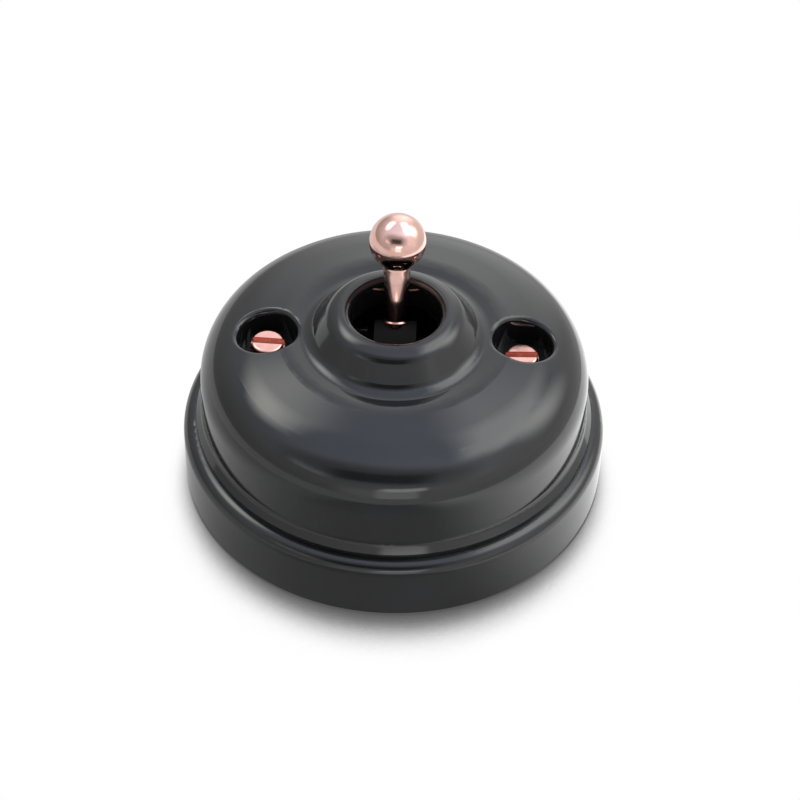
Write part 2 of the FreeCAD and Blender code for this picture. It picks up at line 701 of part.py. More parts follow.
lid_top_z = D.lid_z + D.lid_thick
cheek_in = D.drum_half + D.cheek_gap
cheek_out = cheek_in + D.cheek_thick
lid_screw_places = [(D.lid_screw_x * side, D.lid_screw_y * -side) for side in SIDES]
lid_solids = [box("lid_plate", -D.house_x, D.house_x, -D.lid_y, D.lid_y, D.lid_z, lid_top_z)]
for index, side in enumerate(SIDES):
    low = cheek_in if side > 0 else -cheek_out
    high = cheek_out if side > 0 else -cheek_in
    lid_solids.append(box("cheek_foot_%d" % index, low, high, -D.cheek_half, D.cheek_half,
                          lid_top_z - D.cheek_gap, D.pivot_z))
    lid_solids.append(rod("cheek_eye_%d" % index, "x", D.cheek_half, low, high, z=D.pivot_z))
lid_tools = [
    box("lid_slot", -D.lid_slot_x, D.lid_slot_x, -D.lid_slot_y, D.lid_slot_y,
        D.lid_z - OVERLAP, lid_top_z + OVERLAP),
    rod("lid_pin_bore", "x", D.pin_r, -cheek_out - OVERLAP, cheek_out + OVERLAP, z=D.pivot_z),
]
for index, (x, y) in enumerate(lid_screw_places):
    lid_tools.append(rod("lid_screw_hole_%d" % index, "z", D.lid_screw_r + D.seat_gap,
                         D.lid_z - OVERLAP, lid_top_z + OVERLAP, x, y))
housing_lid = cut("housing_lid", joined("lid_blank", lid_solids), lid_tools)

lid_screws = grouped("lid_screws", [
    slotted_screw("lid_screw_%d" % index, D.lid_head_r, D.lid_head_high, D.lid_screw_r,
                  lid_top_z, lid_top_z - D.lid_screw_long, x, y, D.lid_slot_wide)
    for index, (x, y) in enumerate(lid_screw_places)
])


# Housing: contact chamber in the middle, terminal pockets at the ends, shelf and lugs

pocket_y = D.house_y - D.terminal_long - D.terminal_gap
pocket_x = D.terminal_x + D.terminal_gap
common_end_x = D.common_x + D.terminal_long
shelf_end_x = common_end_x + D.shelf_over
strip_top_z = D.chamber_z + D.strip_thick
lug_top_z = D.floor_z + D.lug_thick

house_solids = [
    box("house_block", -D.house_x, D.house_x, -D.house_y, D.house_y, D.floor_z, D.lid_z),
    box("house_shelf", D.house_x - OVERLAP, shelf_end_x, -D.shelf_y, D.shelf_y, D.floor_z, D.chamber_z),
]
house_tools = [
    box("house_chamber", -D.chamber_x, D.chamber_x, -D.chamber_y, D.chamber_y,
        D.chamber_z, D.lid_z + OVERLAP),
    box("house_common_slot", ZERO, D.house_x + OVERLAP, -D.strip_x - D.terminal_gap,
        D.strip_x + D.terminal_gap, D.chamber_z, strip_top_z + D.terminal_gap),
]
for index, side in enumerate(SIDES):
    inner = pocket_y if side > 0 else -D.house_y - OVERLAP
    outer = D.house_y + OVERLAP if side > 0 else -pocket_y
    house_tools.append(box("house_pocket_%d" % index, -pocket_x, pocket_x, inner, outer,
                           D.chamber_z, D.lid_z + OVERLAP))
    inner = ZERO if side > 0 else -D.house_y
    outer = D.house_y if side > 0 else ZERO
    house_tools.append(box("house_strip_slot_%d" % index, -D.strip_x - D.terminal_gap,
                           D.strip_x + D.terminal_gap, inner, outer,
                           D.chamber_z, strip_top_z + D.terminal_gap))
for index, (x, y) in enumerate(lid_screw_places):
    house_tools.append(rod("house_screw_hole_%d" % index, "z", D.lid_screw_r + D.seat_gap,
                           lid_top_z - D.lid_screw_long - D.cheek_gap, D.lid_z + OVERLAP, x, y))
for index, (side, (x, y)) in enumerate(zip(SIDES, lug_places)):
    house_solids.append(rod("lug_eye_%d" % index, "z", D.lug_r, D.floor_z, lug_top_z, x, y))
    low = D.house_x - OVERLAP if side > 0 else -D.lug_x
    high = D.lug_x if side > 0 else -D.house_x + OVERLAP
    house_solids.append(box("lug_arm_%d" % index, low, high, y - D.lug_r, y + D.lug_r,
                            D.floor_z, lug_top_z))
    house_tools.append(rod("lug_hole_%d" % index, "z", D.lug_hole_r,
                           D.floor_z - OVERLAP, lug_top_z + OVERLAP, x, y))
switch_housing = cut("switch_housing", joined("house_blank", house_solids), house_tools)


# Screws and nuts that hold the housing to the base

mechanism_screws = grouped("mechanism_screws", [
    slotted_screw("mechanism_screw_%d" % index, D.m3_head_r, D.m3_head_high, D.thread_r,
                  lug_top_z, D.mech_screw_end_z, x, y, D.inner_slot_wide)
    for index, (x, y) in enumerate(lug_places)
])


def nut(name, x, y):
    blank = hexagon(name + "_hex", D.nut_flats * FLATS_TO_CORNERS, D.nut_z, nut_top_z, x, y)
    bore = rod(name + "_thread", "z", D.insert_bore_r, D.nut_z - OVERLAP, nut_top_z + OVERLAP, x, y)
    return cut(name, blank, [bore])


mechanism_nuts = grouped("mechanism_nuts", [
    nut("mechanism_nut_%d" % index, x, y) for index, (x, y) in enumerate(lug_places)
])


# Fixed contacts: a strip with a silver face at each end of the chamber, and the fulcrum

strips = {}
fixed_tips = []
for letter, side in zip("ab", SIDES):
    low = D.strip_y if side > 0 else -D.house_y
    high = D.house_y if side > 0 else -D.strip_y
    strips[letter] = box("fixed_contact_" + letter, -D.strip_x, D.strip_x, low, high,
                         D.chamber_z, strip_top_z)
    fixed_tips.append(rod("fixed_tip_" + letter, "z", D.fixed_tip_r, strip_top_z, D.fixed_tip_z,
                          ZERO, D.tip_y * side))
fixed_contact_tips = grouped("fixed_contact_tips", fixed_tips)

fulcrum_terminal = joined("fulcrum_terminal", [
    box("fulcrum_strip", -D.fulcrum_half, common_end_x, -D.strip_x, D.strip_x,
        D.chamber_z, strip_top_z),
    box("fulcrum_web_plate", -D.fulcrum_half, D.fulcrum_half, -D.fulcrum_web, D.fulcrum_web,
        strip_top_z - D.fulcrum_web, D.fulcrum_z),
    rod("fulcrum_edge", "x", D.fulcrum_r, -D.fulcrum_half, D.fulcrum_half, z=D.fulcrum_z),
])


# Rocking contact: a saddle whose trough follows the plunger's nose, drawn level round its axis

SADDLE_AXIS = Vector(1, 0, 0)

trough_centre = D.saddle_trough_z + D.saddle_trough_r
saddle_shell = shared("saddle_shell", [
    rod("saddle_outer", "x", D.saddle_trough_r + D.saddle_thick, -D.saddle_x, D.saddle_x,
        z=trough_centre),
    box("saddle_window", -D.saddle_x, D.saddle_x, -D.saddle_rim_y - D.saddle_thick,
        D.saddle_rim_y + D.saddle_thick, ZERO, D.saddle_rim_z),
])
saddle_solids = [
    saddle_shell,
    box("saddle_hub", -D.saddle_x, D.saddle_x, -D.saddle_hub_y, D.saddle_hub_y,
        -D.saddle_hub_low, D.saddle_trough_z),
]
moving_tips = []
for index, side in enumerate(SIDES):
    web_in = D.saddle_rim_y
    web_out = D.saddle_rim_y + D.saddle_thick
    low = web_in if side > 0 else -web_out
    high = web_out if side > 0 else -web_in
    saddle_solids.append(box("saddle_web_%d" % index, -D.saddle_x, D.saddle_x, low, high,
                             D.saddle_arm_z, D.saddle_rim_z))
    low = web_in if side > 0 else -D.saddle_arm_y
    high = D.saddle_arm_y if side > 0 else -web_in
    saddle_solids.append(box("saddle_arm_%d" % index, -D.saddle_x, D.saddle_x, low, high,
                             D.saddle_arm_z, D.saddle_arm_z + D.saddle_thick))
    y = D.tip_y * side
    moving_tips.append(shared("moving_tip_%d" % index, [
        rod("tip_button_%d" % index, "z", D.tip_r, D.saddle_arm_z - D.tip_high, D.saddle_arm_z, ZERO, y),
        ball("tip_dome_%d" % index, D.tip_dome_r, y=y, z=D.saddle_arm_z - D.tip_high + D.tip_dome_r),
    ]))
rocking_contact = cut("rocking_contact", joined("saddle_blank", saddle_solids), [
    rod("saddle_trough", "x", D.saddle_trough_r, -D.saddle_x - OVERLAP, D.saddle_x + OVERLAP,
        z=trough_centre),
    rod("saddle_groove", "x", D.fulcrum_r + D.fulcrum_gap, -D.saddle_x - OVERLAP,
        D.saddle_x + OVERLAP),
])
swung(rocking_contact, D.fulcrum_z, D.saddle_tilt, SADDLE_AXIS)
rocking_contact_tips = grouped("rocking_contact_tips", moving_tips)
swung(rocking_contact_tips, D.fulcrum_z, D.saddle_tilt, SADDLE_AXIS)


# Terminal blocks: brass clamps with a wire hole along Y and a screw from above

half_long = D.terminal_long * 0.5
end_block_y = D.house_y - half_long
block_centres = {
    "terminal_block_a": (ZERO, -end_block_y),
    "terminal_block_b": (ZERO, end_block_y),
    "terminal_block_common": (D.common_x + half_long, ZERO),
}
blocks = {}
clamp_screws = []
for name, (x, y) in block_centres.items():
    half_x = half_long if name.endswith("common") else D.terminal_x
    half_y = D.terminal_x if name.endswith("common") else half_long
    blank = box(name + "_blank", x - half_x, x + half_x, y - half_y, y + half_y,
                strip_top_z, D.terminal_z)
    blocks[name] = cut(name, blank, [
        rod(name + "_wire_hole", "y", D.wire_hole_r, -half_y - OVERLAP, half_y + OVERLAP,
            x, y, D.wire_hole_z),
        rod(name + "_screw_hole", "z", D.insert_bore_r, D.wire_hole_z, D.terminal_z + OVERLAP, x, y),
    ])
    clamp_screws.append(slotted_screw(name + "_screw", D.clamp_head_r, D.clamp_head_high, D.thread_r,
                                      D.terminal_z + D.clamp_head_lift, D.clamp_end_z, x, y,
                                      D.inner_slot_wide))
terminal_screws = grouped("terminal_screws", clamp_screws)


# Names, checks and export

NODES = {
    "porcelain_base": porcelain_base,
    "porcelain_cover": cover,
    "cover_screws": cover_screws,
    "base_inserts": base_inserts,
    "lever": lever,
    "lever_rocker": lever_rocker,
    "pivot_pin": pivot_pin,
    "plunger": plunger,
    "toggle_spring": spring,
    "housing_lid": housing_lid,
    "lid_screws": lid_screws,
    "switch_housing": switch_housing,
    "mechanism_screws": mechanism_screws,
    "mechanism_nuts": mechanism_nuts,
    "fixed_contact_a": strips["a"],
    "fixed_contact_b": strips["b"],
    "fixed_contact_tips": fixed_contact_tips,
    "fulcrum_terminal": fulcrum_terminal,
    "rocking_contact": rocking_contact,
    "rocking_contact_tips": rocking_contact_tips,
    "terminal_block_a": blocks["terminal_block_a"],
    "terminal_block_b": blocks["terminal_block_b"],
    "terminal_block_common": blocks["terminal_block_common"],
    "terminal_screws": terminal_screws,
}

base.Label = "base_blank"
for name, thing in NODES.items():
    thing.Label = name
doc.recompute()

for thing in doc.Objects:
    if "Invalid" in thing.State or "Error" in thing.State:
        raise ValueError("%s did not compute: %s" % (thing.Name, thing.State))
for name, thing in NODES.items():
    shape = thing.Shape
    if shape.isNull() or not shape.isValid() or not shape.Solids:
        raise ValueError("%s has no sound solid" % name)
    shape.exportStep("parts/%s.step" % name)
    bounds = shape.BoundBox
    print("%-22s solids %d volume %9.2f  x %.2f..%.2f  y %.2f..%.2f  z %.2f..%.2f" % (
        name, len(shape.Solids), shape.Volume, bounds.XMin, bounds.XMax, bounds.YMin, bounds.YMax,
        bounds.ZMin, bounds.ZMax))
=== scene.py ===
# %% [markdown]
# A wall switch in black glazed porcelain, dressed for its portrait.
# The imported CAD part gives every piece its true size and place. This lesson adds what a solid
# model leaves out: the soft neck of the copper lever, crisp screw slots, a round spring wire,
# the glaze with its slow waves, and a small photo studio round it all.
# Lengths are in metres, as Blender wants them, so a millimetre is written with the name MM.

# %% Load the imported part
import json
import math

import bmesh
import bpy
import numpy as np
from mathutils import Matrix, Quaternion, Vector


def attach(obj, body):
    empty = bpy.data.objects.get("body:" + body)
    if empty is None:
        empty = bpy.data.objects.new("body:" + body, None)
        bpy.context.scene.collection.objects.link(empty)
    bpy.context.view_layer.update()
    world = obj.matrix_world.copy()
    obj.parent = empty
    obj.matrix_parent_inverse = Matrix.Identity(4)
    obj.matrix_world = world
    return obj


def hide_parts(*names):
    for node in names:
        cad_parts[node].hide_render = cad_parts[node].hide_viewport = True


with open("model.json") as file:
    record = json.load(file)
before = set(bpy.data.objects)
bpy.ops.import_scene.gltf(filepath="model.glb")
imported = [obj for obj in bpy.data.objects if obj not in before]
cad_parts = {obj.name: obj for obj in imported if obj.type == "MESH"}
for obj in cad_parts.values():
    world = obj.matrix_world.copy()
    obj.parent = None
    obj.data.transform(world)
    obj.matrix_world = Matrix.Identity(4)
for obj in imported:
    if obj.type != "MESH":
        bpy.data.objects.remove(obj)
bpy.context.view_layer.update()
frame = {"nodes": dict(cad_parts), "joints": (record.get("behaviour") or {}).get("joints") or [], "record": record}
nodes = frame["nodes"]
MM = 0.001
print("pieces in the frame:", len(nodes))

# %% [markdown]
# Most new pieces here are grids of points. A grid has rows and columns, and each small square
# of it becomes one face. A loop over the vertices would be slow and hard to read, so numpy
# works out the whole grid at once and Blender takes it in one call.

# %% Turn a grid of points into a mesh
# Points closer together than WELD_WITHIN become one. An edge that bends by more than
# SHARP_FROM degrees stays crisp, and all others are shaded as one smooth surface.
WELD_WITHIN, SHARP_FROM = 1e-7, 35.0


def grid_faces(rows, columns, close_rows, close_columns, first=0):
    """Four corners for each square: (i, j), (i, j+1), (i+1, j+1), (i+1, j).

    A closed direction wraps round, so its last row or column meets the first.
    """
    i = np.arange(rows if close_rows else rows - 1)[:, None]
    j = np.arange(columns if close_columns else columns - 1)[None, :]
    up, right = (i + 1) % rows, (j + 1) % columns
    corners = [i * columns + j, i * columns + right, up * columns + right, up * columns + j]
    return first + np.stack([np.broadcast_to(c, (i.size, j.size)) for c in corners], -1).reshape(-1, 4)


def mesh_object(name, points, faces, sharp_from=SHARP_FROM):
    """Mesh from points (n, 3) and faces, welded where points fall together, facing outwards."""
    mesh = bpy.data.meshes.new(name)
    mesh.from_pydata(points, [], faces)
    weld = bmesh.new()
    weld.from_mesh(mesh)
    bmesh.ops.remove_doubles(weld, verts=weld.verts, dist=WELD_WITHIN)
    bmesh.ops.recalc_face_normals(weld, faces=weld.faces)
    weld.to_mesh(mesh)
    weld.free()
    mesh.shade_smooth()
    mesh.set_sharp_from_angle(angle=math.radians(sharp_from))
    piece = bpy.data.objects.new(name, mesh)
    bpy.context.scene.collection.objects.link(piece)
    print("made", name, "with", len(mesh.polygons), "faces")
    return piece


# %% [markdown]
# The lever leans away from the viewer when the switch is at rest. The frame knows its pivot
# and its axis: the hinge gives the pivot, and the plunger slides along the lever's own axis.
# A piece drawn upright over the origin only has to be turned to that axis and lifted.

# %% Find the lever's pivot and axis
joints = {joint["name"]: joint for joint in frame["joints"]}
PIVOT = np.array(joints["lever_hinge"]["pos_m"], float)
LEVER_AXIS = np.array(joints["plunger_slide"]["axis"], float)
print("lever leans by", round(math.degrees(math.atan2(LEVER_AXIS[1], LEVER_AXIS[2])), 1), "degrees")


def along_lever(points):
    """Upright points (x, y, z) to the leaning lever: p = pivot + x X + y Y' + z Z'.

    Z' is the lever's axis, X stays the world's X, and Y' completes the three.
    """
    z_axis = LEVER_AXIS / np.linalg.norm(LEVER_AXIS)
    x_axis = np.array([1.0, 0.0, 0.0])
    y_axis = np.cross(z_axis, x_axis)
    return PIVOT + points @ np.stack([x_axis, y_axis, z_axis])


# %% [markdown]
# A turned piece comes off a lathe, and its model is made the same way: one outline, carried
# round the axis. The real lever is turned from brass in one go with its ball, a short neck, a
# tapering stem and a small flange, and then copper plated. Drawing the outline from arcs keeps
# the hollow between ball and neck soft, which is where the eye looks first.

# %% Outline helpers: arcs and a turned surface


def arc(centre, radius, start, end, count):
    """Points (r, z) on a circle: centre + radius (sin a, cos a), a in degrees from +Z."""
    angle = np.radians(np.linspace(start, end, count))
    return np.stack([centre[0] + radius * np.sin(angle), centre[1] + radius * np.cos(angle)], -1)


def turned(outline, around=128):
    """Carries an outline (r, z) round the Z axis: (r cos t, r sin t, z)."""
    turn = np.linspace(0, 2 * np.pi, around, endpoint=False)
    r, z = outline[:, 0][:, None], outline[:, 1][:, None]
    points = np.stack([r * np.cos(turn), r * np.sin(turn), z + 0 * turn], -1)
    return points.reshape(-1, 3), grid_faces(len(outline), around, False, True)


# %% [markdown]
# The outline starts on top of the ball and ends under the shank, with heights measured from
# the pivot. The CAD part has a straight cone for a stem. The photograph shows a slight waist,
# so the stem gets one here, and the two shapes differ by less than 0.2 mm.

# %% The lever's outline
BALL_R, BALL_Z = 4.6 * MM, 19.7 * MM
NECK_R, NECK_HOLLOW = 2.33 * MM, 0.5 * MM
WAIST_R, WAIST_Z = 1.93 * MM, 10.0 * MM
ROOT_R, FLANGE_R = 1.75 * MM, 2.0 * MM
FLANGE_TOP, FLANGE_LOW, FLANGE_EDGE = 6.4 * MM, 5.2 * MM, 0.1 * MM
SHANK_R, SHANK_LOW = 1.5 * MM, 2.4 * MM
BALL_POINTS, HOLLOW_POINTS, STEM_POINTS, CONE_POINTS, EDGE_POINTS = 72, 12, 24, 10, 6
STEM_POWER = 2.3

# The hollow's circle touches the ball outside and the neck beside it, so its centre lies
# NECK_R + NECK_HOLLOW from the axis and BALL_R + NECK_HOLLOW from the ball's centre.
hollow_r = NECK_R + NECK_HOLLOW
hollow_drop = math.sqrt((BALL_R + NECK_HOLLOW) ** 2 - hollow_r ** 2)
touch = math.degrees(math.atan2(hollow_r, -hollow_drop))
hollow_centre = (hollow_r, BALL_Z - hollow_drop)

# The stem narrows quickly under the neck and is nearly straight at its waist:
# r = waist + (neck - waist) share ** STEM_POWER. From there a slim cone goes down to the flange.
share = np.linspace(1, 0, STEM_POINTS)
stem = np.stack([WAIST_R + (NECK_R - WAIST_R) * share ** STEM_POWER,
                 WAIST_Z + (hollow_centre[1] - WAIST_Z) * share], -1)
cone = np.stack([np.linspace(WAIST_R, ROOT_R, CONE_POINTS),
                 np.linspace(WAIST_Z, FLANGE_TOP + FLANGE_EDGE, CONE_POINTS)], -1)

lever_outline = np.concatenate([
    arc((0, BALL_Z), BALL_R, 0, touch, BALL_POINTS),
    arc(hollow_centre, NECK_HOLLOW, touch - 180, -90, HOLLOW_POINTS)[1:],
    stem[1:],
    cone[1:],
    arc((ROOT_R + FLANGE_EDGE, FLANGE_TOP + FLANGE_EDGE), FLANGE_EDGE, -90, -180, EDGE_POINTS)[1:],
    arc((FLANGE_R, FLANGE_TOP - FLANGE_EDGE), FLANGE_EDGE, 0, 90, EDGE_POINTS),
    arc((FLANGE_R, FLANGE_LOW + FLANGE_EDGE), FLANGE_EDGE, 90, 180, EDGE_POINTS),
    [(SHANK_R, FLANGE_LOW), (SHANK_R, SHANK_LOW), (0, SHANK_LOW)],
])
lever_points, lever_faces = turned(lever_outline)
lever_copper = mesh_object("lever_copper", along_lever(lever_points), lever_faces)
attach(lever_copper, "lever")
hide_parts("lever")

# %% [markdown]
# A slotted screw head is a low cylinder with a soft rim and a straight groove. The groove's
# walls must be crisp, so the cap is a grid whose lines run along the groove: columns step
# across it, close together at its two walls, and rows run from rim to rim. Round the cap, a
# skirt of rings rolls over the rim and goes down the side.

# %% The screw heads
HEAD_R, HEAD_HIGH, HEAD_RIM = 2.75 * MM, 1.9 * MM, 0.5 * MM
SLOT_HALF, SLOT_DEEP, SLOT_EDGE = 0.6 * MM, 0.9 * MM, 0.07 * MM
SCREW_X, SCREW_SHANK_R = 20.7 * MM, 1.45 * MM
SHANK_LONG = 16.4 * MM
# Grid lines across a head: within the groove, over each of its walls, and out to the rim. The
# lines over a wall start a little before it and end a little past it, as shares of its width.
INNER_LINES, WALL_LINES, OUTER_LINES = 5, 9, 22
WALL_START, WALL_END = -0.15, 1.15
# Each screw: its side (-1 left, 1 right), the height of its top and the turn of its slot in degrees.
SCREWS = {"cover_screw_left": (-1, 26.5 * MM, -3.0), "cover_screw_right": (1, 25.3 * MM, 2.0)}


def slot_depth(y):
    """Depth of the groove: full inside, none outside, with a short rounded wall between."""
    wall = np.clip((np.abs(y) - SLOT_HALF) / SLOT_EDGE, 0, 1)
    return SLOT_DEEP * (1 - wall * wall * (3 - 2 * wall))


def spread_across(radius):
    """Distances across the groove: even steps, with extra ones on the groove's walls."""
    walls = SLOT_HALF + SLOT_EDGE * np.linspace(WALL_START, WALL_END, WALL_LINES)
    angles = np.linspace(math.asin(walls[-1] / radius), math.pi / 2, OUTER_LINES)
    outside = radius * np.sin(angles[1:])
    half = np.concatenate([np.linspace(0, walls[0], INNER_LINES)[:-1], walls, outside])
    return np.concatenate([-half[::-1], half[1:]])


def screw_head(rim_steps=7, along=25):
    """Cap z = top - groove(y) on a disc, then rings that roll over the rim and go down."""
    flat_r = HEAD_R - HEAD_RIM
    across = spread_across(flat_r)
    reach = np.sqrt(np.clip(flat_r ** 2 - across ** 2, 0, None))
    share = np.linspace(-1, 1, along)
    cap = np.stack([share[:, None] * reach, across + 0 * share[:, None],
                    -slot_depth(across) + 0 * share[:, None]], -1)
    faces = [grid_faces(along, across.size, False, False)]
    loop = np.concatenate([cap[-1], cap[0][::-1]])
    # Points at the groove keep their y on every ring, so its walls run straight to the side.
    outward = np.where(np.abs(loop[:, 1]) < SLOT_HALF + 2 * SLOT_EDGE, 0.0, 1.0)
    # The tiny addition gives a side to the two end points, where x is 0.
    which_side = np.sign(loop[:, 0] + 1e-12)
    rings = [loop]
    for angle in np.linspace(0, math.pi / 2, rim_steps)[1:]:
        radius = flat_r + HEAD_RIM * math.sin(angle)
        y = loop[:, 1] * (1 + outward * (radius / flat_r - 1))
        x = which_side * np.sqrt(np.clip(radius ** 2 - y ** 2, 0, None))
        drop = HEAD_RIM * (1 - math.cos(angle))
        rings.append(np.stack([x, y, np.minimum(-drop, -slot_depth(y))], -1))
    side = rings[-1].copy()
    side[:, 2] = -HEAD_HIGH
    under = side.copy()
    under[:, :2] *= SCREW_SHANK_R / HEAD_R
    shank = under.copy()
    shank[:, 2] = -SHANK_LONG - HEAD_HIGH
    rings += [side, under, shank, shank * [0, 0, 1]]
    ring_points = np.stack(rings)
    faces.append(grid_faces(len(rings), loop.shape[0], False, True, cap.shape[0] * cap.shape[1]))
    return np.concatenate([cap.reshape(-1, 3), ring_points.reshape(-1, 3)]), np.concatenate(faces)


head_points, head_faces = screw_head()
screws = []
for screw_name, (side, top_z, slot_turn) in SCREWS.items():
    turn = math.radians(slot_turn)
    spin = np.array([[math.cos(turn), math.sin(turn), 0],
                     [-math.sin(turn), math.cos(turn), 0],
                     [0, 0, 1]])
    screw = mesh_object(screw_name, head_points @ spin + [side * SCREW_X, 0, top_z], head_faces)
    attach(screw, "switch_body")
    screws.append(screw)
# The CAD part keeps both screws in one node, so one head takes the node's place for both.
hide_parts("cover_screws")

# %% [markdown]
# The spring in the lever's arm pushes the plunger onto the rocking contact. A coil is a small
# circle carried along a helix. Its two ends shrink to a point over a short way, which closes
# the wire without a separate cap.

# %% The spring
COIL_R, WIRE_R = 1.3 * MM, 0.2 * MM
COIL_LOW, COIL_HIGH, COIL_PITCH = -6.8 * MM, -2.85 * MM, 0.79 * MM
# The wire's ends shrink over END_STEPS steps, and only an edge past WIRE_SHARP degrees is crisp.
END_STEPS, WIRE_SHARP = 3.0, 80.0


def coil(steps_per_turn=48, wire_sides=14):
    """Helix P(t) = (R cos t, R sin t, z0 + pitch t / 2 pi) with a circle on its normals."""
    rise = COIL_HIGH - COIL_LOW - 2 * WIRE_R
    turns = rise / COIL_PITCH
    t = np.linspace(0, 2 * np.pi * turns, int(steps_per_turn * turns))[:, None]
    climb = COIL_PITCH / (2 * np.pi)
    path = np.concatenate([COIL_R * np.cos(t), COIL_R * np.sin(t), COIL_LOW + WIRE_R + climb * t], 1)
    tangent = np.concatenate([-COIL_R * np.sin(t), COIL_R * np.cos(t), climb + 0 * t], 1)
    tangent /= np.linalg.norm(tangent, axis=1, keepdims=True)
    outward = np.concatenate([np.cos(t), np.sin(t), 0 * t], 1)
    upward = np.cross(outward, tangent)
    steps = np.arange(len(t))
    from_end = np.minimum(steps, steps[::-1])
    width = WIRE_R * np.sqrt(np.clip(1 - (1 - np.clip(from_end / END_STEPS, 0, 1)) ** 2, 0, 1))
    around = np.linspace(0, 2 * np.pi, wire_sides, endpoint=False)
    ring = (np.cos(around)[None, :, None] * outward[:, None]
            + np.sin(around)[None, :, None] * upward[:, None])
    points = path[:, None] + width[:, None, None] * ring
    return points.reshape(-1, 3), grid_faces(len(t), wire_sides, False, True)


spring_points, spring_faces = coil()
spring_wire = mesh_object("spring_wire", along_lever(spring_points), spring_faces, WIRE_SHARP)
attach(spring_wire, "lever")
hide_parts("toggle_spring")

# %% [markdown]
# Finishes. Three small node groups are shared by the materials, and each gives one mask or
# height: slow clouds, fine scratches, and the slow waves of the glaze. They read Object
# coordinates, which stay with a piece when it moves. The shader stays in each material.

# %% Node groups for the finishes


def new_group(name, inputs, outputs):
    """Empty shader group with named number sockets and its two end nodes."""
    group = bpy.data.node_groups.new(name, "ShaderNodeTree")
    for label, value in inputs.items():
        socket = group.interface.new_socket(label, in_out="INPUT", socket_type="NodeSocketFloat")
        socket.default_value = value
    for label in outputs:
        group.interface.new_socket(label, in_out="OUTPUT", socket_type="NodeSocketFloat")
    return group, group.nodes.new("NodeGroupInput"), group.nodes.new("NodeGroupOutput")


def noise_in(group, source, scale_socket, detail, roughness):
    """Noise on Object coordinates; the scale is in bumps per metre."""
    noise = group.nodes.new("ShaderNodeTexNoise")
    noise.inputs["Detail"].default_value = detail
    noise.inputs["Roughness"].default_value = roughness
    group.links.new(source, noise.inputs["Vector"])
    group.links.new(scale_socket, noise.inputs["Scale"])
    return noise.outputs["Fac"]


def stretched(group, factor):
    """Object coordinates scaled on each axis; a small factor draws marks out along its axis."""
    place = group.nodes.new("ShaderNodeTexCoord")
    mapping = group.nodes.new("ShaderNodeMapping")
    mapping.inputs["Scale"].default_value = factor
    group.links.new(place.outputs["Object"], mapping.inputs["Vector"])
    return mapping.outputs["Vector"]


def ranged(tree, value, low, high, least=0.0, most=1.0, soft=True):
    """Number that goes from least to most while the value goes from low to high.

    Low and high are numbers or sockets. A soft range sets out and arrives gently.
    """
    step = tree.nodes.new("ShaderNodeMapRange")
    if soft:
        step.interpolation_type = "SMOOTHSTEP"
    step.inputs["To Min"].default_value = least
    step.inputs["To Max"].default_value = most
    tree.links.new(value, step.inputs["Value"])
    for label, end in (("From Min", low), ("From Max", high)):
        if isinstance(end, (int, float)):
            step.inputs[label].default_value = end
        else:
            tree.links.new(end, step.inputs[label])
    return step.outputs["Result"]


def axes_of(tree, vector):
    """X, Y and Z of a vector socket."""
    split = tree.nodes.new("ShaderNodeSeparateXYZ")
    tree.links.new(vector, split.inputs["Vector"])
    return split.outputs


clouds, ends_in, ends_out = new_group("slow_clouds", {"Scale": 60.0, "From": 0.4, "To": 0.6}, ["Mask"])
cloud_noise = noise_in(clouds, stretched(clouds, (1, 1, 1)), ends_in.outputs["Scale"], 3.0, 0.55)
clouds.links.new(ranged(clouds, cloud_noise, ends_in.outputs["From"], ends_in.outputs["To"]),
                 ends_out.inputs["Mask"])

scratches, ends_in, ends_out = new_group(
    "fine_scratches", {"Scale": 900.0, "From": 0.55, "To": 0.75}, ["Mask"])
scratch_noise = noise_in(scratches, stretched(scratches, (0.08, 1, 0.6)), ends_in.outputs["Scale"],
                         2.0, 0.6)
scratches.links.new(ranged(scratches, scratch_noise, ends_in.outputs["From"], ends_in.outputs["To"]),
                    ends_out.inputs["Mask"])

waves, ends_in, ends_out = new_group("glaze_waves", {"Scale": 45.0}, ["Height"])
wave_noise = noise_in(waves, stretched(waves, (1, 1, 1)), ends_in.outputs["Scale"], 1.0, 0.4)
waves.links.new(wave_noise, ends_out.inputs["Height"])
print("groups:", [group.name for group in (clouds, scratches, waves)])

# %% [markdown]
# Every finish is built alike. A slow mask wanders between two tones and between two levels of
# roughness, and a height from one of the groups gives the surface its fine relief. So no piece
# is one flat colour, even where it looks so from afar.

# %% Build one material from two tones and a mask


def place_group(material, group, **values):
    """Puts a group into a material with its inputs set, and gives its node."""
    used = material.node_tree.nodes.new("ShaderNodeGroup")
    used.node_tree = group
    for label, value in values.items():
        used.inputs[label].default_value = value
    return used


def two_tone(material, mask, first, second):
    """Colour that goes from first to second with the mask."""
    mix = material.node_tree.nodes.new("ShaderNodeMix")
    mix.data_type = "RGBA"
    mix.inputs["A"].default_value = (*first, 1)
    mix.inputs["B"].default_value = (*second, 1)
    material.node_tree.links.new(mask, mix.inputs["Factor"])
    return mix.outputs["Result"]


def two_level(material, mask, first, second):
    """Number that goes from first to second with the mask."""
    return ranged(material.node_tree, mask, 0.0, 1.0, first, second, soft=False)


